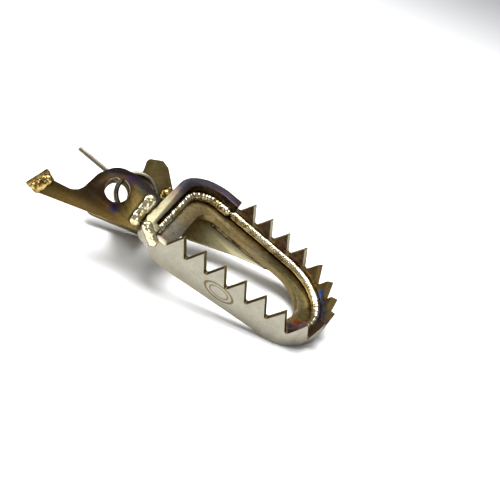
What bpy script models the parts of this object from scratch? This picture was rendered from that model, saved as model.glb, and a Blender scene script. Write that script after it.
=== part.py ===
"""Left foot peg of an off-road motorcycle: a welded titanium platform, a tilted clevis and its spring.

Lengths are in millimetres and are scaled to metres where a mesh or a curve is made.
Platform frame: X runs from the hinge to the tip, Y from the front edge to the rear edge and Z up,
with Z = 0 at the tooth tips. The whole peg hangs from an empty that tilts it to the way it lies on
a bench. The clevis has its own frame, with Y along the pivot axis, away from the near ear.
"""
import math

import bmesh
import bpy
from mathutils import Matrix, Vector

MM = 0.001
GAP = 0.3                       # clearance between two pieces that touch

# platform
PITCH = 10.1                    # tooth pitch along the band's centre line
TEETH = 16
TOOTH_DEPTH = 9.1               # from the tip line to where the two flanks would meet
VALLEY_RADIUS = 0.9
TIP_FLAT = 0.35                 # how far below the tip line a tooth is blunted
BAND_THICK = 3.2
BAND_START = -10.0              # the band's two ends, measured along its centre line from the first tip
BAND_END = 157.2
TIP_RADIUS = 12.5
REAR_RADIUS = 29.7
REAR_CENTRE = (38.0, 20.5)
REAR_ANGLE = math.radians(8.0)  # how far the rear side turns out from the front side
WALL_THICK = 4.6
WALL_X = -18.0                  # outer face of the hinge wall
WALL_TOP = -5.0
WALL_REAR_RADIUS = 18.5
WALL_STEP = 1.0                 # how far the wall stands proud of the band where they are joined
WALL_FRONT_RADIUS = 6.0
RING_TOP = -11.6
RING_THICK = 2.8
RING_WIDTH = 10.4               # from the band's inner face to the opening, round the rear
RING_FRONT_WIDTH = 2.4          # the same along the front
OPENING_LEFT = -3.0
BEAD_RADIUS = 1.5
CORNER_BEAD_RADIUS = 2.0

# clevis
AXIS_TILT = math.radians(37.7)  # the pivot axis dips this far below the platform's plane
AXIS_YAW = math.radians(9.5)
HOLE_CENTRE = (-34.5, 7.05, -5.9)
HOLE_RADIUS = 5.25
EAR_RADIUS = 9.2
EAR_THICK = 5.0
FAR_EAR_RADIUS = 9.8
FAR_EAR_OFFSET = 35.0           # from the near ear's front face to the far ear's
PAD_THICK = 2.6
PAD_WIDTH = 9.0
EAR_BEAD_RADIUS = 2.0
PAD_BEAD_RADIUS = 2.0
WEB_BEAD_RADIUS = 1.7
CUT_ALLOWANCE = 3.0             # how far an ear is drawn past the hinge wall before it is cut to fit

# spring
WIRE_RADIUS = 1.05
COIL_RADIUS = 8.45              # to the middle of the wire
COIL_TURNS = 4.0
COIL_PITCH = 2.45
COIL_CENTRE = (7.5, 3.1)        # in the plane of the ears
COIL_START = EAR_THICK + 1.6    # depth of the first turn behind the near ear's front face
LEG_END = (-23.1, 8.0)
LEG_BEND_RADIUS = 2.6
LEG_SETBACK = 0.45              # how far the leg lies behind the first turn

# how the peg lies on a bench
REST_PITCH = math.radians(14.492)
REST_ROLL = math.radians(6.011)
REST_PLACE = (1.296, -25.136, 28.8855)   # puts the middle of the peg over the origin, standing on Z = 0

COLOURS = {
    "satin titanium": ((0.47, 0.455, 0.41, 1), 0.38),
    "blue-grey titanium": ((0.12, 0.115, 0.14, 1), 0.35),
    "straw titanium": ((0.40, 0.34, 0.19, 1), 0.36),
    "bronze titanium": ((0.20, 0.145, 0.07, 1), 0.33),
    "olive titanium": ((0.17, 0.15, 0.09, 1), 0.4),
    "weld": ((0.74, 0.64, 0.38, 1), 0.22),
    "spring steel": ((0.42, 0.41, 0.36, 1), 0.32),
}


def clear_scene():
    for item in list(bpy.data.objects):
        bpy.data.objects.remove(item, do_unlink=True)


def material(name):
    if name in bpy.data.materials:
        return bpy.data.materials[name]
    made = bpy.data.materials.new(name)
    made.use_nodes = True
    shader = made.node_tree.nodes["Principled BSDF"]
    colour, roughness = COLOURS[name]
    shader.inputs["Base Color"].default_value = colour
    shader.inputs["Roughness"].default_value = roughness
    shader.inputs["Metallic"].default_value = 1.0
    return made


def new_collection(name, hidden=False):
    made = bpy.data.collections.new(name)
    bpy.context.scene.collection.children.link(made)
    made.hide_render = hidden
    return made


def new_empty(name, parent=None, location=(0, 0, 0), rotation=(0, 0, 0)):
    made = bpy.data.objects.new(name, None)
    PARTS.objects.link(made)
    made.parent = parent
    made.location = Vector(location) * MM
    made.rotation_euler = rotation
    return made


def arc(centre, radius, start, end, steps=12):
    """Points on an arc; the angles are in degrees and may run either way."""
    points = []
    for i in range(steps + 1):
        angle = math.radians(start + (end - start) * i / steps)
        points.append((centre[0] + radius * math.cos(angle), centre[1] + radius * math.sin(angle)))
    return points


def rounded(corners, steps=8):
    """A closed outline from (x, y, corner radius) triples, with each corner turned into an arc."""
    points = []
    for i, (x, y, radius) in enumerate(corners):
        here = Vector((x, y))
        to_last = (Vector(corners[i - 1][:2]) - here).normalized()
        to_next = (Vector(corners[(i + 1) % len(corners)][:2]) - here).normalized()
        half = math.acos(max(-1.0, min(1.0, to_last.dot(to_next)))) / 2
        if radius == 0 or half > math.radians(89):
            points.append((x, y))
            continue
        back = radius / math.tan(half)
        centre = here + (to_last + to_next).normalized() * (radius / math.sin(half))
        first = here + to_last * back - centre
        last = here + to_next * back - centre
        turn = math.atan2(first.x * last.y - first.y * last.x, first.dot(last))
        for k in range(steps + 1):
            spun = Matrix.Rotation(turn * k / steps, 2) @ first
            points.append(tuple(centre + spun))
    return points


def flat_mesh(name, outlines, thickness):
    """A mesh of the given thickness from closed outlines: the first is the edge, the rest are holes."""
    curve = bpy.data.curves.new(name + "_outline", "CURVE")
    curve.dimensions = "2D"
    curve.fill_mode = "BOTH"
    curve.extrude = thickness / 2 * MM
    for outline in outlines:
        spline = curve.splines.new("POLY")
        spline.points.add(len(outline) - 1)
        for point, (x, y) in zip(spline.points, outline):
            point.co = (x * MM, y * MM, 0, 1)
        spline.use_cyclic_u = True
    holder = bpy.data.objects.new(name + "_outline", curve)
    bpy.context.scene.collection.objects.link(holder)
    evaluated = holder.evaluated_get(bpy.context.evaluated_depsgraph_get())
    mesh = bpy.data.meshes.new_from_object(evaluated)
    bpy.data.objects.remove(holder, do_unlink=True)
    bpy.data.curves.remove(curve)
    mesh.name = name
    body = bmesh.new()
    body.from_mesh(mesh)
    bmesh.ops.remove_doubles(body, verts=body.verts, dist=1e-6)
    bmesh.ops.recalc_face_normals(body, faces=body.faces)
    body.to_mesh(mesh)
    body.free()
    return mesh


def add_object(name, mesh, look, parent, location=(0, 0, 0), rotation=(0, 0, 0), home=None):
    made = bpy.data.objects.new(name, mesh)
    (home or PARTS).objects.link(made)
    made.parent = parent
    made.location = Vector(location) * MM
    made.rotation_euler = rotation
    if look:
        mesh.materials.clear()
        mesh.materials.append(material(look))
    return made


def plate(name, outlines, thickness, look, parent, location=(0, 0, 0)):
    """A plate that lies flat, with its middle at the location."""
    return add_object(name, flat_mesh(name, outlines, thickness), look, parent, location)


def upright_plate(name, outlines, thickness, look, parent, front=0.0, home=None):
    """A plate whose outline is drawn in X and Z, from the depth of its front face backwards."""
    turned = (math.pi / 2, 0, 0)
    place = (0, front + thickness / 2, 0)
    return add_object(name, flat_mesh(name, outlines, thickness), look, parent, place, turned, home)


def cut(target, cutter):
    cutter.display_type = "WIRE"
    cutter.hide_render = True
    step = target.modifiers.new("cut by " + cutter.name, "BOOLEAN")
    step.operation = "DIFFERENCE"
    step.solver = "EXACT"
    step.object = cutter


def wire(name, points, radius, look, parent, resolution=3, cyclic=False):
    """A round bar along a list of points."""
    curve = bpy.data.curves.new(name, "CURVE")
    curve.dimensions = "3D"
    curve.bevel_depth = radius * MM
    curve.bevel_resolution = resolution
    curve.use_fill_caps = True
    spline = curve.splines.new("POLY")
    spline.points.add(len(points) - 1)
    for point, (x, y, z) in zip(spline.points, points):
        point.co = (x * MM, y * MM, z * MM, 1)
    spline.use_cyclic_u = cyclic
    made = bpy.data.objects.new(name, curve)
    PARTS.objects.link(made)
    made.parent = parent
    curve.materials.append(material(look))
    return made


# --- the path that the band is bent to -----------------------------------------------------------

# The small tip arc meets the big rear arc smoothly at this angle below the X axis.
MEETING_ANGLE = math.asin((REAR_CENTRE[1] - TIP_RADIUS) / (REAR_RADIUS - TIP_RADIUS))
TIP_CENTRE = (REAR_CENTRE[0] + (REAR_RADIUS - TIP_RADIUS) * math.cos(MEETING_ANGLE), TIP_RADIUS)
FRONT_LENGTH = TIP_CENTRE[0]
REAR_START = FRONT_LENGTH + TIP_RADIUS * (math.pi / 2 - MEETING_ANGLE)
REAR_END = REAR_START + REAR_RADIUS * (MEETING_ANGLE + math.pi / 2 - REAR_ANGLE)


def path_point(distance):
    """The band's centre line at a distance from the first tip: a point and its outward normal."""
    if distance < FRONT_LENGTH:
        return Vector((distance, 0)), Vector((0, -1))
    if distance < REAR_START:
        angle = (distance - FRONT_LENGTH) / TIP_RADIUS - math.pi / 2
        normal = Vector((math.cos(angle), math.sin(angle)))
        return Vector(TIP_CENTRE) + normal * TIP_RADIUS, normal
    angle = (min(distance, REAR_END) - REAR_START) / REAR_RADIUS - MEETING_ANGLE
    normal = Vector((math.cos(angle), math.sin(angle)))
    point = Vector(REAR_CENTRE) + normal * REAR_RADIUS
    beyond = max(0.0, distance - REAR_END)
    return point + Vector((-normal.y, normal.x)) * beyond, normal


def path_offset(start, end, outward, steps):
    """Points beside the centre line, from one distance to another."""
    points = []
    for i in range(steps + 1):
        point, normal = path_point(start + (end - start) * i / steps)
        points.append(tuple(point + normal * outward))
    return points


def wall_offset(inward, proud=0.0):
    """The hinge wall's line, from its rear end to its front end, inside its outer face."""
    rear_point, normal = path_point(BAND_END + GAP)
    along = Vector((-normal.y, normal.x))
    on_line = rear_point + normal * (BAND_THICK / 2 + proud)
    centre_x = WALL_X + WALL_REAR_RADIUS
    reach = (on_line.x - centre_x - WALL_REAR_RADIUS * normal.x) / -along.x
    corner = on_line + along * reach - normal * WALL_REAR_RADIUS
    rear = [tuple(on_line - normal * inward)]
    rear += arc(corner, WALL_REAR_RADIUS - inward, 90 - math.degrees(REAR_ANGLE), 180, 22)
    front_y = -BAND_THICK / 2
    front_centre = (WALL_X + WALL_FRONT_RADIUS, front_y + WALL_FRONT_RADIUS)
    front = arc(front_centre, WALL_FRONT_RADIUS - inward, 180, 270, 14)
    return rear + front + [(BAND_START - GAP, front_y + inward)]


# --- platform pieces -----------------------------------------------------------------------------

def lower_edge_cutter():
    """Everything below the lower edge of the band and the wall."""
    profile = [(-30, -13.8), (-13, -14.2), (-6, -17.4), (-1, -18.2), (30, -16.9), (54, -15.8),
               (61, -13.2), (66, -12.4), (75, -12.4), (75, -40), (-30, -40)]
    return upright_plate("lower_edge_cutter", [profile], 90, None, REST, front=-15, home=CUTTERS)


def strip_outline():
    """The laser-cut strip laid flat: distance along the band against height."""
    half = PITCH / 2
    slope = math.atan2(half, TOOTH_DEPTH)
    low = -20.0
    centre_z = -TOOTH_DEPTH + VALLEY_RADIUS / math.sin(slope)
    top_half = half * (1 - TIP_FLAT / TOOTH_DEPTH)
    floor = centre_z - VALLEY_RADIUS
    start_turn = math.degrees(slope)
    points = [(BAND_START, low), (BAND_START, floor)]
    for k in range(-1, TEETH):
        middle = (k + 0.5) * PITCH
        valley = arc((middle, centre_z), VALLEY_RADIUS, 180 + start_turn, 360 - start_turn, 8)
        if k == -1:
            valley = valley[4:]
        if k == TEETH - 1:
            valley = valley[:5]
        points += [] if k == -1 else [(middle - top_half, -TIP_FLAT)]
        points += valley
        points += [] if k == TEETH - 1 else [(middle + top_half, -TIP_FLAT)]
    points += [(BAND_END, floor), (BAND_END, low)]
    return points


def make_band(cutter):
    mesh = flat_mesh("toothed_band", [strip_outline()], BAND_THICK)
    body = bmesh.new()
    body.from_mesh(mesh)
    distance = FRONT_LENGTH - 1
    while distance < REAR_END + 1:
        everything = body.verts[:] + body.edges[:] + body.faces[:]
        at = Vector((distance * MM, 0, 0))
        bmesh.ops.bisect_plane(body, geom=everything, plane_co=at, plane_no=(1, 0, 0), dist=1e-6)
        distance += 1.0 if distance < REAR_START else 1.6
    for vert in body.verts:
        along, height, across = (c / MM for c in vert.co)
        point, normal = path_point(along)
        spot = point - normal * across
        vert.co = Vector((spot.x, spot.y, height)) * MM
    bmesh.ops.recalc_face_normals(body, faces=body.faces)
    body.to_mesh(mesh)
    body.free()
    cut(add_object("toothed_band", mesh, "satin titanium", REST), cutter)


def make_wall():
    """The wall is shallow at the front corner and deepens towards the far ear."""
    outline = wall_offset(0, WALL_STEP) + wall_offset(WALL_THICK)[::-1]
    height = 16.0
    wall = plate("hinge_wall", [outline], height, "blue-grey titanium", REST, (0, 0, WALL_TOP - height / 2))
    profile = [(-10, -13.9), (4, -13.9), (26, -17.6), (70, -17.6), (70, -40), (-10, -40)]
    below = flat_mesh("wall_edge_cutter", [profile], 60)
    turned = (math.pi / 2, 0, math.pi / 2)
    cut(wall, add_object("wall_edge_cutter", below, None, REST, rotation=turned, home=CUTTERS))


def make_ring():
    edge = -(BAND_THICK / 2 + GAP)
    outer = path_offset(BAND_START, BAND_END, edge, 140) + wall_offset(WALL_THICK + GAP)
    front_y = BAND_THICK / 2 + RING_FRONT_WIDTH
    inner_edge = -(BAND_THICK / 2 + RING_WIDTH)
    opening = arc((OPENING_LEFT + 6, front_y + 6), 6, 180, 270, 12)
    opening += arc((FRONT_LENGTH - 4, front_y + 6), 6, 270, 320, 8)
    opening += path_offset(REAR_START + 2, REAR_END, inner_edge, 36)
    rear, normal = path_point(BAND_END - 4)
    corner = rear + normal * inner_edge
    opening += [tuple(corner)]
    opening += arc((OPENING_LEFT + 9, corner.y - 8.0), 9, 100, 180, 12)
    middle = (0, 0, RING_TOP - RING_THICK / 2)
    plate("inner_ring", [outer, opening], RING_THICK, "straw titanium", REST, middle)


def make_ring_welds():
    lift = RING_TOP + BEAD_RADIUS + GAP
    beside = -(BAND_THICK / 2 + BEAD_RADIUS + GAP)
    points = path_offset(FRONT_LENGTH + 6, BAND_END - 1, beside, 90)
    wire("ring_weld", [(x, y, lift) for x, y in points], BEAD_RADIUS, "weld", REST)
    points = wall_offset(WALL_THICK + GAP + BEAD_RADIUS)[:-1]
    wire("wall_ring_weld", [(x, y, lift) for x, y in points], BEAD_RADIUS, "weld", REST)


def make_joint_welds():
    front = [(-16.5, -2.6, -3.0), (-13.4, -3.9, -5.5), (-10.6, -3.9, -7.6), (-7.7, -3.9, -9.6)]
    wire("front_corner_weld", front, CORNER_BEAD_RADIUS, "weld", REST)
    point, normal = path_point(BAND_END - 1.1)
    outside = point + normal * (BAND_THICK / 2 + GAP + 1.0)
    wire("rear_joint_weld", [(outside.x, outside.y, z) for z in (-9.5, -14.5)], 1.0, "weld", REST)


def make_spar():
    """The tapered spar that hangs from the ring behind the opening, and its weld."""
    place = (-12.8, 46.2, RING_TOP - RING_THICK - 3.4)
    spar = new_empty("spar_frame", REST, place, (-AXIS_TILT, 0, math.radians(-5)))
    outline = rounded([(-5.2, 0, 0), (8.5, 0, 1), (13.5, 3.2, 2), (51.2, 3.2, 0.6),
                       (50.4, 1.4, 0.6), (33, -3.6, 20), (12.7, -11.1, 14), (-4.3, -15.2, 0)])
    upright_plate("rear_spar", [outline], 3.4, "straw titanium", spar)
    points = [(16, -1.4, 1.4), (49, -1.4, 1.4)]
    wire("spar_weld", points, 1.1, "weld", spar)
    wire("spar_ear_weld", [(-4.25, 4.9, -1.2), (-3.55, 4.9, -13.6)], 1.2, "weld", spar)


# --- clevis pieces -------------------------------------------------------------------------------

def wall_side_cutter():
    """Everything on the platform's side of the hinge wall's outer face, less the clearance."""
    left = WALL_X - GAP
    outline = [(left, -20), (20, -20), (20, 70), (left, 70)]
    mesh = flat_mesh("wall_side_cutter", [outline], 80)
    return add_object("wall_side_cutter", mesh, None, REST, (0, 0, -20), home=CUTTERS)


def wall_reach(height, depth):
    """How far a clevis plate may run towards the wall, at a height and a depth in the clevis frame."""
    tilt_x = math.sin(AXIS_YAW) * (math.sin(AXIS_TILT) * height + math.cos(AXIS_TILT) * depth)
    return (WALL_X - 2 * GAP - HOLE_CENTRE[0] + tilt_x) / math.cos(AXIS_YAW)


def make_near_ear(cutter):
    right_top = wall_reach(6.6, 0) + CUT_ALLOWANCE
    right_low = wall_reach(-10.4, 0) + CUT_ALLOWANCE
    corners = [(x, y, 0) for x, y in arc((0, 0), EAR_RADIUS, 92, 148, 18)]
    corners += [(-10.0, 2.0, 3), (-13.2, -9.3, 6), (-24.0, -10.0, 2), (-25.6, -8.6, 0), (-29.7, -17.1, 0)]
    corners += [(-28.2, -17.8, 0.6), (right_low, -9.9, 0.8), (right_top, 5.8, 1.5), (4.6, 9.6, 6)]
    outline = rounded(corners)
    hole = arc((0, 0), HOLE_RADIUS, 0, 352.5, 47)
    cut(upright_plate("near_ear", [outline, hole], EAR_THICK, "bronze titanium", HINGE), cutter)


def make_far_ear(cutter):
    right_low = wall_reach(-10.6, FAR_EAR_OFFSET) + CUT_ALLOWANCE
    right_top = wall_reach(13.0, FAR_EAR_OFFSET) + CUT_ALLOWANCE
    corners = [(right_low, -9.95, 0.5), (right_top, 10.5, 1.5), (14.2, 22.6, 3), (10.6, 24.1, 1.5)]
    corners += [(4.0, 21.4, 2), (5.2, 15.4, 3), (3.6, 12.0, 2)]
    corners += [(x, y, 0) for x, y in arc((0, 0), FAR_EAR_RADIUS, 94, 190, 28)]
    corners += [(-9.5, -14.4, 4.5), (-3.6, -13.7, 3)]
    outline = rounded(corners)
    hole = arc((0, 0), HOLE_RADIUS, 0, 352.5, 47)
    ear = upright_plate("far_ear", [outline, hole], EAR_THICK, "olive titanium", HINGE, front=FAR_EAR_OFFSET)
    cut(ear, cutter)


def make_web(cutter):
    """The plate between the ears, under the spring."""
    depth = FAR_EAR_OFFSET - EAR_THICK - 2 * GAP
    middle = EAR_THICK + GAP + depth / 2
    reach = wall_reach(-9, EAR_THICK) + CUT_ALLOWANCE
    outline = [(4.0, -depth / 2), (reach, -depth / 2), (reach + 5, depth / 2), (4.0, depth / 2)]
    web = flat_mesh("hinge_web", [outline], 3.4)
    place, turn = (0, middle, -10.4), (0, math.radians(-9.4), 0)
    cut(add_object("hinge_web", web, "bronze titanium", HINGE, place, turn), cutter)


def make_stop_pad():
    frame = new_empty("pad_frame", HINGE, (-29.6, EAR_THICK / 2, -12.4), (0, math.radians(25.8), 0))
    bpy.ops.mesh.primitive_cube_add(size=1)
    pad = bpy.context.active_object
    pad.name = "stop_pad"
    for home in list(pad.users_collection):
        home.objects.unlink(pad)
    PARTS.objects.link(pad)
    pad.parent = frame
    pad.scale = (PAD_THICK * MM, PAD_WIDTH * MM, 10.6 * MM)
    pad.data.materials.append(material("weld"))
    beside = PAD_BEAD_RADIUS + GAP
    for side, depth in (("front", -beside), ("back", EAR_THICK + beside)):
        points = [(-24.8, depth, -10.7), (-27.9, depth, -17.2)]
        wire("stop_pad_weld_" + side, points, PAD_BEAD_RADIUS, "weld", HINGE)


def make_ear_welds():
    """A bead on each side of both ears where they meet the wall."""
    inset = EAR_BEAD_RADIUS + GAP + 0.2
    near_front = [(wall_reach(z, -inset) - inset, -inset, z) for z in (5.6, -3, -9.5)]
    wire("near_ear_weld", near_front, EAR_BEAD_RADIUS, "weld", HINGE)
    depth = FAR_EAR_OFFSET - inset
    far_front = [(wall_reach(z, depth) - inset, depth, z) for z in (13.5, 8.0)]
    wire("far_ear_weld", far_front, EAR_BEAD_RADIUS, "weld", HINGE)
    outside = WALL_X - GAP - WEB_BEAD_RADIUS
    wire("web_weld", [(outside, 29.8, -9.2), (outside, 37.0, -9.6)], WEB_BEAD_RADIUS, "weld", REST)


def make_spring():
    """The coil stays with the peg; the leg turns about the coil's own axis."""
    x, z = COIL_CENTRE
    steps = 32
    total = int(COIL_TURNS * steps)
    leg_angle = math.atan2(LEG_END[1] - z, LEG_END[0] - x)
    coil = []
    for i in range(total + 1):
        angle = leg_angle + math.radians(8) + 2 * math.pi * i / steps
        depth = COIL_START + COIL_PITCH * (COIL_TURNS - i / steps)
        coil.append((x + COIL_RADIUS * math.cos(angle), depth, z + COIL_RADIUS * math.sin(angle)))
    wire("spring_coil", coil, WIRE_RADIUS, "spring steel", HINGE)
    depth = COIL_START + COIL_PITCH * COIL_TURNS + LEG_SETBACK
    pivot = new_empty("spring_axis", HINGE, (x, depth, z), (0, 0, 0))
    reach = math.hypot(LEG_END[0] - x, LEG_END[1] - z)
    bend = COIL_RADIUS + LEG_BEND_RADIUS
    leg = [(bend + LEG_BEND_RADIUS * math.cos(a), LEG_BEND_RADIUS * math.sin(a))
           for a in (math.pi + 0.25 * k for k in range(1, 7))]
    leg = [(r, -(t + LEG_BEND_RADIUS)) for r, t in leg]
    turned = Matrix.Rotation(leg_angle, 2)
    points = []
    for radial, side in leg + [(reach, leg[-1][1])]:
        spot = turned @ Vector((radial, side))
        points.append((spot.x, 0, spot.y))
    wire("spring_leg", points, WIRE_RADIUS, "spring steel", pivot)


clear_scene()
PARTS = new_collection("foot_peg")
CUTTERS = new_collection("cutters", hidden=True)
REST = new_empty("rest_frame", None, REST_PLACE, (REST_ROLL, REST_PITCH, 0))
HINGE = new_empty("hinge_frame", REST, HOLE_CENTRE, (-AXIS_TILT, 0, AXIS_YAW))

edge_cutter = lower_edge_cutter()
make_band(edge_cutter)
make_wall()
make_ring()
make_ring_welds()
make_joint_welds()
make_spar()
side_cutter = wall_side_cutter()
make_near_ear(side_cutter)
make_far_ear(side_cutter)
make_web(side_cutter)
make_stop_pad()
make_ear_welds()
make_spring()
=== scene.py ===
"""Looks of the welded titanium foot peg: bevelled plates, rippled weld beads, wire spring, heat tints, and
some painted light and shade.

Lengths are in millimetres in two frames that follow the model. In the platform frame X runs from the
hinge to the tip, Y from the front edge to the rear edge and Z up from the tooth tips. In the hinge
frame Y is the pivot axis, away from the near ear, and X runs towards the platform.
"""
import math

import bmesh
import bpy
from mathutils import Euler, Matrix, Vector


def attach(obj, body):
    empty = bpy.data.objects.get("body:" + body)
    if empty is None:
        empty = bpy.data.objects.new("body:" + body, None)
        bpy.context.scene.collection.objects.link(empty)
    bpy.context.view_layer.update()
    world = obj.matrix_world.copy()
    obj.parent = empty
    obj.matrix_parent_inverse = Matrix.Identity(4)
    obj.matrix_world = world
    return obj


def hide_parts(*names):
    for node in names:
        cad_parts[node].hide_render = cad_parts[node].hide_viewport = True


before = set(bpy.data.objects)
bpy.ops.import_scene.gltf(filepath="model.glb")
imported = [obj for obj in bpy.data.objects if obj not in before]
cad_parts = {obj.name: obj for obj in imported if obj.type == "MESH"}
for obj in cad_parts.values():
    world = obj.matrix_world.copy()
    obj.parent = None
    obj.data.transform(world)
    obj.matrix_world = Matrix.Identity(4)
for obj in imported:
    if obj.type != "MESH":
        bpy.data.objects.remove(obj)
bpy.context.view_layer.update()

MM = 0.001

# --- the two frames, and the sizes that the beads and the spring follow -----------------------------

REST_PLACE = (1.296, -25.136, 28.8855)
REST_TURN = (math.radians(6.011), math.radians(14.492), 0)
HOLE_CENTRE = (-34.5, 7.05, -5.9)
HINGE_TURN = (math.radians(-37.7), 0, math.radians(9.5))
REST = Matrix.Translation(REST_PLACE) @ Euler(REST_TURN).to_matrix().to_4x4()
HINGE = REST @ Matrix.Translation(HOLE_CENTRE) @ Euler(HINGE_TURN).to_matrix().to_4x4()

BAND_THICK = 3.2
BAND_END = 157.2
TIP_RADIUS = 12.5
REAR_RADIUS = 29.7
REAR_CENTRE = (38.0, 20.5)
REAR_ANGLE = math.radians(8.0)
WALL_X = -18.0
WALL_THICK = 4.6
WALL_REAR_RADIUS = 18.5
WALL_FRONT_RADIUS = 6.0
RING_TOP = -11.6
EAR_THICK = 5.0
FAR_EAR_OFFSET = 35.0

WIRE_RADIUS = 1.05
COIL_RADIUS = 8.45
COIL_TURNS = 4.0
COIL_PITCH = 2.45
COIL_CENTRE = (7.5, 3.1)
COIL_START = EAR_THICK + 1.6
LEG_END = (-23.1, 8.0)
LEG_BEND_RADIUS = 2.6
LEG_SETBACK = 0.45

# --- colours (linear) ------------------------------------------------------------------------------

SILVER = (0.335, 0.315, 0.25)
BEIGE = (0.36, 0.325, 0.24)
SATIN_WALL = (0.30, 0.27, 0.165)
STRAW = (0.34, 0.28, 0.14)
GOLD = (0.40, 0.27, 0.07)
OLIVE = (0.122, 0.088, 0.031)
BRONZE = (0.10, 0.065, 0.03)
BROWN = (0.055, 0.032, 0.018)
PURPLE = (0.045, 0.018, 0.065)
BLUE = (0.035, 0.07, 0.26)
ORANGE = (0.52, 0.20, 0.05)
SLATE = (0.055, 0.052, 0.062)
# near black for painted shade on the spar weld
SHADE_BLACK = (0.022, 0.018, 0.014)


class Finish:
    """A material on a metal shader, with short calls for the nodes that paint it."""

    def __init__(self, name):
        self.material = bpy.data.materials.new(name)
        self.material.use_nodes = True
        self.tree = self.material.node_tree
        self.shader = self.tree.nodes["Principled BSDF"]
        self.shader.inputs["Metallic"].default_value = 1.0
        self.shader.inputs["Specular Tint"].default_value = (0.55, 0.52, 0.46, 1)
        source = self.add("ShaderNodeTexCoord")
        place = Vector(REST_PLACE) * MM
        self.place = self.mapped(source.outputs["Object"], place, REST_TURN, (MM, MM, MM))
        self.hinge = self.mapped(self.place, HOLE_CENTRE, HINGE_TURN)
        self.normal = self.mapped(source.outputs["Normal"], (0, 0, 0), REST_TURN)
        self.hinge_normal = self.mapped(self.normal, (0, 0, 0), HINGE_TURN)
        self.x, self.y, self.z = self.parts(self.place)
        self.nx, self.ny, self.nz = self.parts(self.normal)

    def add(self, kind, inputs=(), **settings):
        made = self.tree.nodes.new(kind)
        for key, value in settings.items():
            setattr(made, key, value)
        for socket, value in zip(made.inputs, inputs):
            self.put(socket, value)
        return made

    def put(self, socket, value):
        if isinstance(value, bpy.types.NodeSocket):
            self.tree.links.new(value, socket)
        elif value is not None:
            socket.default_value = value

    def mapped(self, vector, location, rotation, scale=(1, 1, 1)):
        """The vector in a frame that lies at this location and rotation in its own."""
        inputs = (vector, location, rotation, scale)
        return self.add("ShaderNodeMapping", inputs, vector_type="TEXTURE").outputs[0]

    def parts(self, vector):
        return self.add("ShaderNodeSeparateXYZ", (vector,)).outputs

    def calc(self, operation, a, b=None, clamp=False):
        return self.add("ShaderNodeMath", (a, b), operation=operation, use_clamp=clamp).outputs[0]

    def step(self, value, low, high):
        """Smoothly from 0 where the value is low to 1 where it is high; low may be the larger one."""
        made = self.add("ShaderNodeMapRange", interpolation_type="SMOOTHSTEP")
        for socket, setting in zip(made.inputs, (value, low, high, 0.0, 1.0)):
            self.put(socket, setting)
        return made.outputs[0]

    def both(self, *masks):
        result = masks[0]
        for mask in masks[1:]:
            result = self.calc("MULTIPLY", result, mask)
        return result

    def distance(self, vector, point):
        return self.add("ShaderNodeVectorMath", (vector, point), operation="DISTANCE").outputs["Value"]

    def spot(self, vector, point, inner, outer):
        """1 within the inner radius of a point and 0 beyond the outer one."""
        return self.step(self.distance(vector, point), outer, inner)

    def noise(self, scale, detail=3.0, stretch=(1, 1, 1), vector=None, rough=0.55):
        """Noise at a size in cycles per millimetre, stretched along an axis where its factor is small."""
        place = self.add("ShaderNodeVectorMath", (vector or self.place, stretch), operation="MULTIPLY")
        made = self.add("ShaderNodeTexNoise")
        self.put(made.inputs["Vector"], place.outputs[0])
        made.inputs["Scale"].default_value = scale
        made.inputs["Detail"].default_value = detail
        made.inputs["Roughness"].default_value = rough
        return made.outputs["Fac"]

    def wobble(self, value, scale, amount, **options):
        """The value, with noise of this size added, so that an edge wanders."""
        noise = self.noise(scale, **options)
        return self.add("ShaderNodeMath", (noise, amount, value), operation="MULTIPLY_ADD").outputs[0]

    def ramp(self, value, stops):
        made = self.add("ShaderNodeValToRGB", (value,))
        elements = made.color_ramp.elements
        while len(elements) < len(stops):
            elements.new(1.0)
        for element, (position, colour) in zip(elements, stops):
            element.position = position
            element.color = (*colour, 1)
        return made.outputs["Color"]

    def mix(self, mask, under, over):
        made = self.add("ShaderNodeMix", data_type="RGBA")
        self.put(made.inputs["Factor"], mask)
        for socket, value in ((made.inputs[6], under), (made.inputs[7], over)):
            self.put(socket, (*value, 1) if isinstance(value, tuple) else value)
        return made.outputs[2]

    def shade(self, colour, factor):
        """The colour multiplied by a grey factor."""
        made = self.add("ShaderNodeVectorMath", operation="SCALE")
        self.put(made.inputs[0], colour)
        self.put(made.inputs["Scale"], factor)
        return made.outputs[0]

    def graded(self, colour, scale, low, high, **options):
        """The colour, made darker and lighter by noise between two factors."""
        return self.shade(colour, self.span(self.noise(scale, **options), 0.25, 0.75, low, high))

    def span(self, value, low, high, to_low, to_high):
        made = self.add("ShaderNodeMapRange")
        for socket, setting in zip(made.inputs, (value, low, high, to_low, to_high)):
            self.put(socket, setting)
        return made.outputs[0]

    def finish(self, colour, roughness, *bumps):
        """Sets the colour, the roughness and bumps given as (height, depth in millimetres)."""
        self.put(self.shader.inputs["Base Color"], colour)
        self.put(self.shader.inputs["Roughness"], roughness)
        normal = None
        for height, depth in bumps:
            bump = self.add("ShaderNodeBump")
            bump.inputs["Strength"].default_value = 1.0
            bump.inputs["Distance"].default_value = depth * MM
            self.put(bump.inputs["Height"], height)
            if normal is not None:
                self.put(bump.inputs["Normal"], normal)
            normal = bump.outputs[0]
        if normal is not None:
            self.put(self.shader.inputs["Normal"], normal)
        return self.material


# --- materials -------------------------------------------------------------------------------------

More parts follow.
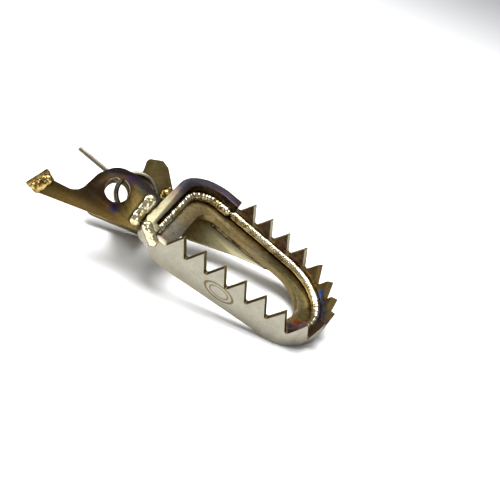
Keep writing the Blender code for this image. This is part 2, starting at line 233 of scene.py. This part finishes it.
def inward_mask(look):
    """1 on faces that look in towards the middle of the rear arc."""
    centre = look.add("ShaderNodeCombineXYZ", (REAR_CENTRE[0], REAR_CENTRE[1], 0)).outputs[0]
    out = look.add("ShaderNodeVectorMath", (look.place, centre), operation="SUBTRACT").outputs[0]
    flat = look.add("ShaderNodeVectorMath", (out, (1, 1, 0)), operation="MULTIPLY").outputs[0]
    unit = look.add("ShaderNodeVectorMath", (flat,), operation="NORMALIZE").outputs[0]
    facing = look.add("ShaderNodeVectorMath", (unit, look.normal), operation="DOT_PRODUCT").outputs["Value"]
    return look.step(facing, -0.25, -0.6)


def emblem_mask(look):
    """A plain oval ring etched on the front of the band, with a thinner ring inside it."""
    place = look.mapped(look.place, (24.0, 0, -11.2), (0, math.radians(2.0), 0), (7.4, 40, 3.3))
    x, _, z = look.parts(place)
    across = look.calc("SQRT", look.calc("ADD", look.calc("MULTIPLY", x, x), look.calc("MULTIPLY", z, z)))
    rim = look.calc("ABSOLUTE", look.calc("SUBTRACT", across, 0.92))
    ring = look.step(rim, 0.10, 0.06)
    inner = look.calc("ABSOLUTE", look.calc("SUBTRACT", across, 0.60))
    fine = look.step(inner, 0.06, 0.03)
    outside = look.step(look.ny, -0.8, -0.95)
    return look.both(look.calc("MAXIMUM", ring, fine), outside)


def band_look():
    look = Finish("satin_titanium_look")
    cut_face = look.step(look.calc("ABSOLUTE", look.nz), 0.18, 0.3)
    rear = look.step(look.y, 13.0, 20.0)
    inside = look.both(inward_mask(look), look.step(look.wobble(look.y, 0.25, 4.0), 8.0, 15.0))
    satin = look.graded(SILVER, 0.35, 0.90, 1.06, detail=2.0)
    satin = look.shade(satin, look.span(look.noise(2.2, 5.0, (0.25, 0.25, 1.0)), 0.3, 0.7, 0.88, 1.08))
    low = look.step(look.wobble(look.z, 0.3, 3.0), -12.5, -17.5)
    satin = look.mix(look.both(low, 0.35), satin, STRAW)
    satin = look.mix(look.both(emblem_mask(look), 0.85), satin, OLIVE)
    edge = look.graded(OLIVE, 1.2, 0.75, 1.5)
    # Painted highlight: the rear tooth flanks that face the tip are made pale beige, as if lit from that
    # side.
    pale = look.both(rear, look.step(look.nx, 0.1, 0.5), look.step(look.x, 52.0, 44.0))
    edge = look.mix(pale, edge, BEIGE)
    edge = look.mix(look.step(look.x, -4.0, -6.0), edge, BEIGE)
    burnt_tip = look.both(look.step(look.x, 50.0, 55.0), look.step(look.y, 24.0, 14.0))
    burnt_colour = look.mix(look.step(look.noise(0.4), 0.45, 0.6), BROWN, PURPLE)
    edge = look.mix(look.both(burnt_tip, 0.8), edge, burnt_colour)
    burnt = look.graded(BROWN, 0.6, 0.5, 2.4, detail=4.0)
    burnt = look.mix(look.both(look.step(look.noise(0.45, 3.0), 0.52, 0.68), 0.75), burnt, BRONZE)
    towards_tip = look.step(look.x, 47.0, 58.0)
    burnt = look.mix(look.both(towards_tip, 0.8), burnt, OLIVE)
    patch = look.step(look.noise(0.16, 1.0), 0.50, 0.56)
    bluish = look.both(look.step(look.x, 55.0, 60.0), look.step(look.z, -9.5, -7.0), patch)
    burnt = look.mix(bluish, burnt, BLUE)
    near_weld = look.step(look.wobble(look.z, 0.5, 2.0), -7.6, -9.6)
    burnt = look.mix(look.both(near_weld, towards_tip), burnt, GOLD)
    colour = look.mix(inside, satin, burnt)
    colour = look.mix(cut_face, colour, edge)
    rough = look.span(look.noise(1.4, 4.0), 0.3, 0.7, 0.34, 0.46)
    grain = look.noise(5.0, 4.0, (0.35, 0.35, 1.0))
    striae = look.noise(3.0, 2.0, (1.0, 1.0, 0.1))
    return look.finish(colour, rough, (grain, 0.05), (look.both(striae, cut_face), 0.12))


def wall_look():
    look = Finish("blue_grey_titanium_look")
    top = look.step(look.nz, 0.6, 0.85)
    along = look.wobble(look.calc("ADD", look.y, look.calc("MULTIPLY", look.x, 0.7)), 0.12, 10.0)
    tint = look.ramp(look.span(along, -10.0, 75.0, 0.0, 1.0),
                     [(0.0, SATIN_WALL), (0.28, SATIN_WALL), (0.38, (0.22, 0.17, 0.12)), (0.47, SLATE),
                      (0.66, SLATE),
                      (0.85, (0.12, 0.09, 0.12)), (1.0, BROWN)])
    face = look.ramp(look.span(along, -10.0, 75.0, 0.0, 1.0),
                     [(0.0, SILVER), (0.30, BEIGE), (0.5, STRAW), (0.7, BRONZE), (1.0, OLIVE)])
    # Painted shade: the wall's inner faces are darkened to brown. The gold seam on them near the ring weld is
    # heat tint.
    inside = look.both(inward_mask(look), look.step(look.nz, 0.5, 0.2))
    dark = look.graded(BROWN, 0.8, 0.25, 1.4, detail=4.0)
    gold_seam = look.both(look.step(look.wobble(look.z, 0.7, 2.4), -9.2, -10.6),
                          look.step(look.y, 20.0, 28.0))
    dark = look.mix(look.both(gold_seam, 0.7), dark, GOLD)
    colour = look.mix(inside, face, dark)
    colour = look.mix(top, colour, tint)
    colour = look.graded(colour, 1.1, 0.86, 1.12, detail=4.0)
    brushed = look.noise(3.2, 3.0, (0.2, 1.0, 1.0))
    rough = look.span(brushed, 0.3, 0.7, 0.30, 0.44)
    return look.finish(colour, rough, (brushed, 0.04))


def ring_look():
    look = Finish("straw_titanium_look")
    tip = look.step(look.wobble(look.x, 0.1, 8.0), 18.0, 52.0)
    rear = look.distance(look.place, (REAR_CENTRE[0], REAR_CENTRE[1], RING_TOP))
    satin = look.graded(BEIGE, 0.4, 0.72, 0.88)
    gold = look.graded((0.245, 0.20, 0.10), 0.35, 0.6, 1.2)
    colour = look.mix(tip, satin, gold)
    outer = look.step(look.wobble(rear, 0.4, 1.4), 23.5, 27.5)
    seam = look.both(outer, look.step(look.y, 18.0, 30.0))
    colour = look.mix(look.both(seam, 0.55), colour, look.graded(GOLD, 0.8, 0.5, 1.2))
    corner = look.spot(look.place, (59.5, 14.0, RING_TOP), 1.0, 6.0)
    colour = look.mix(corner, colour,
                      look.ramp(look.wobble(corner, 0.5, 0.3),
                                [(0.0, STRAW), (0.35, GOLD), (0.7, ORANGE), (1.0, (0.35, 0.09, 0.03))]))
    violet = look.spot(look.place, (57.0, 9.5, RING_TOP), 0.5, 4.0)
    colour = look.mix(look.both(violet, 0.85), colour, PURPLE)
    side = look.step(look.calc("ABSOLUTE", look.nz), 0.6, 0.3)
    colour = look.mix(look.both(side, 0.75), colour, look.graded(OLIVE, 0.7, 0.8, 1.5))
    hot = look.both(look.spot(look.place, (-9.0, 6.0, RING_TOP), 1.0, 5.0), 0.6)
    burnt_mark = look.ramp(look.noise(0.7), [(0.35, BROWN), (0.5, (0.25, 0.05, 0.03)), (0.6, STRAW)])
    colour = look.mix(hot, colour, burnt_mark)
    brushed = look.noise(2.6, 4.0, (0.15, 1.0, 1.0))
    colour = look.shade(colour, look.span(brushed, 0.3, 0.7, 0.86, 1.12))
    rough = look.span(brushed, 0.3, 0.7, 0.24, 0.40)
    return look.finish(colour, rough, (brushed, 0.05))


def near_ear_look():
    look = Finish("bronze_titanium_look")
    x, _, z = look.parts(look.hinge)
    to_wall = look.wobble(x, 0.15, 3.5, vector=look.hinge)
    colour = look.ramp(look.span(to_wall, -30.0, 18.0, 0.0, 1.0),
                       [(0.0, BRONZE), (0.10, OLIVE), (0.30, (0.13, 0.082, 0.022)), (0.50, BRONZE),
                        (0.62, (0.074, 0.037, 0.014)), (0.76, (0.105, 0.064, 0.017)),
                        (0.88, (0.21, 0.155, 0.05)),
                        (1.0, STRAW)])
    low = look.step(look.wobble(z, 0.2, 3.0, vector=look.hinge), -4.0, -9.0)
    colour = look.mix(look.both(low, 0.5), colour, (0.118, 0.076, 0.020))
    dark = look.spot(look.hinge, (-8.0, 0, -3.5), 2.0, 7.5)
    colour = look.mix(look.both(dark, 0.6), colour, BROWN)
    crown = look.wobble(look.distance(look.hinge, (1.0, 0, 0)), 0.25, 2.0, vector=look.hinge)
    crown = look.step(crown, 7.2, 9.4)
    colour = look.mix(look.both(crown, look.step(z, 2.0, 6.0), 0.8), colour, SLATE)
    hole = look.wobble(look.distance(look.hinge, (0, 0, 0)), 0.3, 2.2, vector=look.hinge)
    violet = look.spot(look.hinge, (2.8, 0, 7.0), 0.5, 4.5)
    colour = look.mix(look.both(violet, 0.8), colour, (0.030, 0.016, 0.050))
    under = look.spot(look.hinge, (2.6, 0, -7.0), 0.5, 3.6)
    colour = look.mix(look.both(under, 0.9), colour,
                      look.mix(look.step(hole, 7.2, 9.4), (0.028, 0.014, 0.040), (0.020, 0.020, 0.070)))
    halo = look.both(look.step(hole, 8.4, 6.0), 0.45)
    colour = look.mix(halo, colour, BROWN)
    facing = look.parts(look.hinge_normal)[1]
    rim = look.step(look.calc("ABSOLUTE", facing), 0.6, 0.3)
    # Painted light on the ear's edge faces: pale beige where they face down in the hinge frame, dark on the
    # others.
    bottom = look.step(look.parts(look.hinge_normal)[2], -0.2, -0.6)
    rim_colour = look.mix(bottom, look.graded((0.085, 0.066, 0.036), 0.8, 0.5, 1.7),
                          look.graded(BEIGE, 0.5, 1.0, 1.4))
    colour = look.mix(rim, colour, rim_colour)
    colour = look.graded(colour, 0.9, 0.58, 0.82, detail=4.0)
    fine = look.noise(3.0, 4.0)
    rough = look.span(fine, 0.3, 0.7, 0.24, 0.36)
    return look.finish(colour, rough, (fine, 0.03))


def plate_look(name, colours, roughness=(0.28, 0.44)):
    """A plain plate with cloudy heat tints and brush marks."""
    look = Finish(name)
    cloud = look.noise(0.14, 3.0)
    colour = look.ramp(look.span(cloud, 0.3, 0.7, 0.0, 1.0),
                       [(i / (len(colours) - 1), c) for i, c in enumerate(colours)])
    brushed = look.noise(2.4, 4.0, (1.0, 1.0, 0.25))
    colour = look.shade(colour, look.span(brushed, 0.3, 0.7, 0.82, 1.14))
    rough = look.span(brushed, 0.3, 0.7, *roughness)
    return look.finish(colour, rough, (brushed, 0.05))


def spar_look():
    """Painted shade: dark olive under the hinge wall, pale straw towards the tip where the shade ends."""
    look = Finish("spar_titanium_look")
    along = look.span(look.wobble(look.x, 0.12, 6.0), -6.0, 34.0, 0.0, 1.0)
    colour = look.ramp(along, [(0.0, BROWN), (0.2, OLIVE), (0.4, (0.30, 0.26, 0.14)),
                                (0.65, (0.44, 0.385, 0.22)), (1.0, (0.50, 0.45, 0.28))])
    brushed = look.noise(2.4, 3.0, (0.2, 1.0, 1.0))
    colour = look.shade(colour, look.span(brushed, 0.3, 0.7, 0.9, 1.08))
    rough = look.span(brushed, 0.3, 0.7, 0.26, 0.38)
    return look.finish(colour, rough, (brushed, 0.02))


def weld_look(name, light, dark, tint):
    """Bright melted metal, with darker straw and a burnt tint here and there."""
    look = Finish(name)
    cloud = look.noise(0.32, 4.0)
    colour = look.ramp(look.span(cloud, 0.28, 0.72, 0.0, 1.0),
                       [(0.0, dark), (0.28, tint), (0.5, light), (0.8, light), (1.0, tint)])
    fine = look.noise(1.6, 3.0)
    rough = look.span(fine, 0.3, 0.7, 0.14, 0.28)
    return look.finish(colour, rough, (fine, 0.06))


def spring_look():
    look = Finish("spring_steel_look")
    drawn = look.noise(1.5, 4.0, (0.4, 1.0, 1.0), vector=look.hinge)
    colour = look.mix(look.step(look.noise(0.3, 3.0), 0.5, 0.7), (0.17, 0.15, 0.115), (0.10, 0.085, 0.06))
    colour = look.shade(colour, look.span(drawn, 0.3, 0.7, 0.85, 1.15))
    rough = look.span(drawn, 0.3, 0.7, 0.32, 0.44)
    return look.finish(colour, rough, (drawn, 0.02))


# --- shapes ----------------------------------------------------------------------------------------

def new_piece(name, mesh, look, slot_name, body, *nodes):
    piece = bpy.data.objects.new(name, mesh)
    bpy.context.scene.collection.objects.link(piece)
    mesh.materials.clear()
    mesh.materials.append(look)
    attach(piece, body)
    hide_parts(*nodes)
    return piece


def finished_plate(node, look, slot_name, bevel, segments=3):
    """A plate of the CAD model with its sharp edges rounded over and its bends shaded smooth."""
    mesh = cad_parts[node].data.copy()
    mesh.name = node + "_finished"
    body = bmesh.new()
    body.from_mesh(mesh)
    bmesh.ops.remove_doubles(body, verts=body.verts, dist=2e-6)
    flat = math.radians(0.5)
    bmesh.ops.dissolve_limit(body, angle_limit=flat, verts=body.verts, edges=body.edges)
    for face in body.faces:
        face.smooth = True
    body.to_mesh(mesh)
    body.free()
    piece = new_piece(node + "_finished", mesh, look, slot_name, "peg", node)
    rounding = piece.modifiers.new("rounded edges", "BEVEL")
    rounding.width = bevel * MM
    rounding.segments = segments
    rounding.limit_method = "ANGLE"
    rounding.angle_limit = math.radians(24)
    rounding.harden_normals = True
    return piece


def path_lengths():
    """Where the band's straight front, tip arc and rear arc end, measured along its centre line."""
    meeting = math.asin((REAR_CENTRE[1] - TIP_RADIUS) / (REAR_RADIUS - TIP_RADIUS))
    front = REAR_CENTRE[0] + (REAR_RADIUS - TIP_RADIUS) * math.cos(meeting)
    tip = front + TIP_RADIUS * (math.pi / 2 - meeting)
    rear = tip + REAR_RADIUS * (meeting + math.pi / 2 - REAR_ANGLE)
    return meeting, front, tip, rear


def path_point(distance):
    """The band's centre line at a distance from the first tip: a point and its outward normal."""
    meeting, front, tip, rear = path_lengths()
    if distance < front:
        return Vector((distance, 0)), Vector((0, -1))
    if distance < tip:
        angle = (distance - front) / TIP_RADIUS - math.pi / 2
        normal = Vector((math.cos(angle), math.sin(angle)))
        return Vector((front, TIP_RADIUS)) + normal * TIP_RADIUS, normal
    angle = (min(distance, rear) - tip) / REAR_RADIUS - meeting
    normal = Vector((math.cos(angle), math.sin(angle)))
    beyond = max(0.0, distance - rear)
    return Vector(REAR_CENTRE) + normal * REAR_RADIUS + Vector((-normal.y, normal.x)) * beyond, normal


def beside_band(start, end, inward, height, steps=160):
    points = []
    for i in range(steps + 1):
        point, normal = path_point(start + (end - start) * i / steps)
        points.append(Vector((*(point - normal * inward), height)))
    return points


def beside_wall(inward, height):
    """A line inside the hinge wall, from its rear end to its front corner."""
    rear_point, normal = path_point(BAND_END + 0.3)
    along = Vector((-normal.y, normal.x))
    on_line = rear_point + normal * (BAND_THICK / 2)
    centre_x = WALL_X + WALL_REAR_RADIUS
    reach = (on_line.x - centre_x - WALL_REAR_RADIUS * normal.x) / -along.x
    corner = on_line + along * reach - normal * WALL_REAR_RADIUS
    front_corner = Vector((WALL_X + WALL_FRONT_RADIUS, WALL_FRONT_RADIUS - BAND_THICK / 2))
    points = [on_line - normal * inward]
    for centre, radius, first, last in ((corner, WALL_REAR_RADIUS, 82, 180),
                                        (front_corner, WALL_FRONT_RADIUS, 180, 262)):
        for i in range(25):
            angle = math.radians(first + (last - first) * i / 24)
            points.append(centre + Vector((math.cos(angle), math.sin(angle))) * (radius - inward))
    return [Vector((p.x, p.y, height)) for p in points]


def evenly(points, spacing):
    """The same line with its points at an even spacing."""
    points = [Vector(p) for p in points]
    lengths = [0.0]
    for a, b in zip(points, points[1:]):
        lengths.append(lengths[-1] + (b - a).length)
    count = max(2, round(lengths[-1] / spacing))
    result, k = [], 0
    for i in range(count + 1):
        at = lengths[-1] * i / count
        while k < len(points) - 2 and lengths[k + 1] < at:
            k += 1
        share = (at - lengths[k]) / max(lengths[k + 1] - lengths[k], 1e-9)
        result.append(points[k].lerp(points[k + 1], share))
    return result


def softened(points, rounds):
    """The line with its corners eased."""
    for _ in range(rounds):
        middle = [(a + b * 2 + c) / 4 for a, b, c in zip(points, points[1:], points[2:])]
        points = [points[0]] + middle + [points[-1]]
    return points


def sweep(name, points, matrix, towards, radius_at, sides):
    """A closed tube along a line. Its radius may change with length and with the angle round the tube,
    which starts where the tube looks towards a point."""
    body = bmesh.new()
    rings, length = [], 0.0
    for i, point in enumerate(points):
        before, after = points[max(i - 1, 0)], points[min(i + 1, len(points) - 1)]
        tangent = (after - before).normalized()
        face = Vector(towards) - point
        face = (face - tangent * face.dot(tangent)).normalized()
        side = tangent.cross(face)
        length += (point - before).length if i else 0.0
        ring = []
        for k in range(sides):
            angle = 2 * math.pi * k / sides
            radius = radius_at(length, angle)
            spot = point + (face * math.cos(angle) + side * math.sin(angle)) * radius
            ring.append(body.verts.new(matrix @ spot * MM))
        rings.append(ring)
    for a, b in zip(rings, rings[1:]):
        for k in range(sides):
            body.faces.new((a[k], a[(k + 1) % sides], b[(k + 1) % sides], b[k]))
    body.faces.new(rings[0][::-1])
    body.faces.new(rings[-1])
    bmesh.ops.recalc_face_normals(body, faces=body.faces)
    for face in body.faces:
        face.smooth = True
    mesh = bpy.data.meshes.new(name)
    body.to_mesh(mesh)
    body.free()
    return mesh


def bead(node, points, towards, look, matrix=REST, radius=1.7, pitch=1.25, depth=0.16, unevenness=0.06):
    """A weld bead: a row of overlapping ripples that curve back at its sides, with rounded ends."""
    line = softened(evenly(points, 0.22), 6)
    total = sum((b - a).length for a, b in zip(line, line[1:]))

    def radius_at(length, angle):
        travel = length + 0.32 * math.sin(length * 0.9) + 0.21 * math.sin(length * 2.3)
        phase = travel / pitch + 0.42 * (1 - math.cos(angle)) * radius / pitch
        ripple = abs(math.sin(math.pi * phase)) ** 0.6
        wander = unevenness * (math.sin(length * 0.61 + angle) + math.sin(length * 1.7 + 2 * angle + 1.3)) / 2
        size = radius * (1 - depth + depth * ripple + wander)
        from_end = min(length, total - length)
        rounding = 1.0 if from_end > radius else math.sqrt(max(0.02, 1 - (1 - from_end / radius) ** 2))
        return size * rounding

    mesh = sweep(node + "_bead", line, matrix, towards, radius_at, 18)
    return new_piece(node + "_bead", mesh, look, "weld_titanium", "peg", node)


def make_spring(look):
    """The coil is wound on the pivot axis; the leg leaves it in a tight bend."""
    x, z = COIL_CENTRE
    leg_angle = math.atan2(LEG_END[1] - z, LEG_END[0] - x)
    steps = 64
    coil = []
    for i in range(int(COIL_TURNS * steps) + 1):
        angle = leg_angle + math.radians(8) + 2 * math.pi * i / steps
        depth = COIL_START + COIL_PITCH * (COIL_TURNS - i / steps)
        coil.append(Vector((x + COIL_RADIUS * math.cos(angle), depth, z + COIL_RADIUS * math.sin(angle))))

    def wire_radius(points):
        total = sum((b - a).length for a, b in zip(points, points[1:]))

        def at(length, _):
            from_end = min(length, total - length)
            return WIRE_RADIUS * (1.0 if from_end > 0.18 else 0.86 + 0.14 * from_end / 0.18)
        return at

    fine = [coil[0], coil[0].lerp(coil[1], 0.2)] + coil[1:-1] + [coil[-2].lerp(coil[-1], 0.8), coil[-1]]
    centre_line = (x, COIL_START + COIL_PITCH * COIL_TURNS / 2, z)
    mesh = sweep("spring_coil_wire", fine, HINGE, centre_line, wire_radius(fine), 20)
    new_piece("spring_coil_wire", mesh, look, "spring_steel", "peg", "spring_coil")

    bend = COIL_RADIUS + LEG_BEND_RADIUS
    reach = math.hypot(LEG_END[0] - x, LEG_END[1] - z)
    turned = Matrix.Rotation(leg_angle, 2)
    depth = COIL_START + COIL_PITCH * COIL_TURNS + LEG_SETBACK
    flat = []
    for i in range(25):
        angle = math.pi + 0.25 + 1.25 * i / 24
        flat.append((bend + LEG_BEND_RADIUS * math.cos(angle), -LEG_BEND_RADIUS * (1 + math.sin(angle))))
    last = flat[-1]
    flat += [(last[0] + (reach - last[0]) * s, last[1]) for s in (0.25, 0.5, 0.75, 0.994, 1.0)]
    leg = []
    for radial, across in flat:
        spot = turned @ Vector((radial, across))
        leg.append(Vector((x + spot.x, depth, z + spot.y)))
    mesh = sweep("spring_leg_wire", leg, HINGE, (x, depth + 400, z), wire_radius(leg), 20)
    new_piece("spring_leg_wire", mesh, look, "spring_steel", "spring_arm", "spring_leg")


# --- the peg ---------------------------------------------------------------------------------------

finished_plate("toothed_band", band_look(), "satin_titanium", 0.16)
finished_plate("hinge_wall", wall_look(), "tinted_titanium", 0.35)
finished_plate("inner_ring", ring_look(), "straw_titanium", 0.9)
finished_plate("near_ear", near_ear_look(), "bronze_titanium", 0.35)
olive_tints = [(0.085, 0.066, 0.032), OLIVE, (0.15, 0.125, 0.062), OLIVE]
finished_plate("far_ear", plate_look("olive_titanium_look", olive_tints),
               "olive_titanium", 0.35)
web_look = plate_look("web_titanium_look", [BRONZE, OLIVE, STRAW])
finished_plate("hinge_web", web_look, "bronze_titanium", 0.35)
finished_plate("rear_spar", spar_look(), "straw_titanium", 0.35)
pad_look = plate_look("pad_titanium_look", [BROWN, (0.26, 0.17, 0.05), STRAW, GOLD, BRONZE], (0.18, 0.30))
finished_plate("stop_pad", pad_look, "weld_titanium", 0.6)

bright = weld_look("bright_weld_look", (0.78, 0.70, 0.46), (0.20, 0.13, 0.05), (0.62, 0.48, 0.20))
seam = weld_look("seam_weld_look", (0.62, 0.56, 0.40), (0.16, 0.11, 0.05), (0.42, 0.33, 0.15))
# Painted shade: the spar weld lies in the shadow under the ring's edge, so its bead is kept almost black.
shade_dark_weld = weld_look("shade_dark_weld_look", (0.16, 0.13, 0.07), SHADE_BLACK, BROWN)
burnt = weld_look("burnt_weld_look", (0.50, 0.37, 0.13), (0.035, 0.02, 0.014), (0.22, 0.13, 0.035))

lift = RING_TOP + 1.5 + 0.3
above = (30.0, 18.0, 30.0)
tip_start = path_lengths()[1] + 6
bead("ring_weld", beside_band(tip_start, BAND_END + 0.8, 3.4, lift), above, seam,
     radius=2.05, depth=0.08, unevenness=0.03)
bead("wall_ring_weld", beside_wall(WALL_THICK + 1.8, lift), above, seam, radius=2.05, pitch=1.9, depth=0.16)
corner_line = [(-16.5, -2.6, -3.0), (-13.4, -3.9, -5.5), (-10.6, -3.9, -7.6), (-7.7, -3.9, -9.6)]
bead("front_corner_weld", corner_line, (-14.0, -40.0, 10.0), bright, radius=2.3, pitch=3.2, depth=0.08)
joint, joint_normal = path_point(BAND_END - 1.1)
joint += joint_normal * (BAND_THICK / 2 + 1.3)
bead("rear_joint_weld", [(joint.x, joint.y, z) for z in (-9.5, -14.5)],
     (joint.x, joint.y + 50, 0), burnt, radius=1.25)
SPAR = REST @ Matrix.Translation((-12.8, 46.2, RING_TOP - 2.8 - 3.4)) @ Euler(
    (HINGE_TURN[0], 0, math.radians(-5))).to_matrix().to_4x4()
bead("spar_ear_weld", [(-4.25, 4.9, -1.2), (-3.55, 4.9, -13.6)], (-4, 60, -7), burnt, SPAR,
     radius=1.75, pitch=1.6)
bead("spar_weld", [(16, -1.4, 1.4), (49, -1.4, 1.4)], (20, -50, -20), shade_dark_weld, SPAR, radius=1.3)


def wall_reach(height, depth):
    tilt_x = math.sin(HINGE_TURN[2]) * (math.sin(-HINGE_TURN[0]) * height + math.cos(HINGE_TURN[0]) * depth)
    return (WALL_X - 0.6 - HOLE_CENTRE[0] + tilt_x) / math.cos(HINGE_TURN[2])


inset = 2.5
near_line = [(wall_reach(z, -inset) - inset, -inset, z) for z in (5.6, -3, -9.5)]
bead("near_ear_weld", near_line, (-10, -40, 0), bright, HINGE,
     radius=2.7, pitch=3.4, depth=0.05, unevenness=0.07)
far_depth = FAR_EAR_OFFSET - inset
far_line = [(wall_reach(z, far_depth) - inset, far_depth, z) for z in (13.5, 8.0)]
bead("far_ear_weld", far_line, (-20, 0, 10), burnt, HINGE, radius=2.3)
bead("web_weld", [(-20.0, 29.8, -9.2), (-20.0, 37.0, -9.6)], (-60, 34, -20), burnt, radius=1.95)
for side, depth, look_to in (("front", -1.7, -40), ("back", EAR_THICK + 1.7, 50)):
    bead("stop_pad_weld_" + side, [(-25.0, depth, -9.0), (-29.2, depth, -17.9)],
         (-20, look_to, -10), burnt, HINGE,
         radius=2.5, pitch=2.6, depth=0.10, unevenness=0.10)
make_spring(spring_look())


# --- floor, light and camera -----------------------------------------------------------------------

FLOOR_HALF = 12.0                          # metres
CAMERA_PLACE = (0.06268, -0.33738, 0.18885)
CAMERA_RIGHT = (0.91369, 0.25748, 0.31456)  # the picture's horizontal, rolled out of the level
CAMERA_VIEW = (-0.10059, 0.89293, -0.43875)
LENS = 63.6                                # millimetres, on the sensor below
SENSOR_WIDTH = 36.0

def area_light(name, place, aim, size, power, colour=(1, 1, 1)):
    data = bpy.data.lights.new(name, "AREA")
    data.shape = "RECTANGLE"
    data.size, data.size_y = size
    data.energy = power
    data.color = colour
    lamp = bpy.data.objects.new(name, data)
    bpy.context.scene.collection.objects.link(lamp)
    lamp.location = place
    lamp.rotation_euler = (Vector(aim) - Vector(place)).to_track_quat("-Z", "Y").to_euler()
    return lamp


def make_floor():
    mesh = bpy.data.meshes.new("floor")
    corners = [(x * FLOOR_HALF, y * FLOOR_HALF, 0) for x, y in ((-1, -1), (1, -1), (1, 1), (-1, 1))]
    mesh.from_pydata(corners, [], [(0, 1, 2, 3)])
    floor = bpy.data.objects.new("floor", mesh)
    bpy.context.scene.collection.objects.link(floor)
    pale = bpy.data.materials.new("pale_floor")
    pale.use_nodes = True
    shader = pale.node_tree.nodes["Principled BSDF"]
    shader.inputs["Base Color"].default_value = (0.90, 0.90, 0.90, 1)
    shader.inputs["Roughness"].default_value = 0.7
    shader.inputs["Specular IOR Level"].default_value = 0.2
    mesh.materials.append(pale)


def make_world():
    world = bpy.data.worlds.new("studio")
    world.use_nodes = True
    background = world.node_tree.nodes["Background"]
    background.inputs["Color"].default_value = (0.95, 0.97, 1.0, 1)
    background.inputs["Strength"].default_value = 0.30
    bpy.context.scene.world = world


def make_camera():
    data = bpy.data.cameras.new("camera")
    data.sensor_width = SENSOR_WIDTH
    data.lens = LENS
    data.clip_start, data.clip_end = 0.01, 20.0
    camera = bpy.data.objects.new("camera", data)
    bpy.context.scene.collection.objects.link(camera)
    back = -Vector(CAMERA_VIEW).normalized()
    up = back.cross(Vector(CAMERA_RIGHT)).normalized()
    right = up.cross(back)
    turn = Matrix((right, up, back)).transposed()
    camera.matrix_world = Matrix.Translation(CAMERA_PLACE) @ turn.to_4x4()
    bpy.context.scene.camera = camera


make_floor()
make_world()
make_camera()
area_light("overhead", (-0.12, 0.12, 1.0), (0, 0, 0), (0.9, 0.8), 21)
area_light("left", (-0.9, 0.1, 0.55), (0, 0, 0.01), (0.4, 0.5), 4)
area_light("front", (0.4, -0.9, 0.45), (0, 0, 0.01), (0.5, 0.4), 2)
bpy.context.scene.view_settings.view_transform = "Standard"
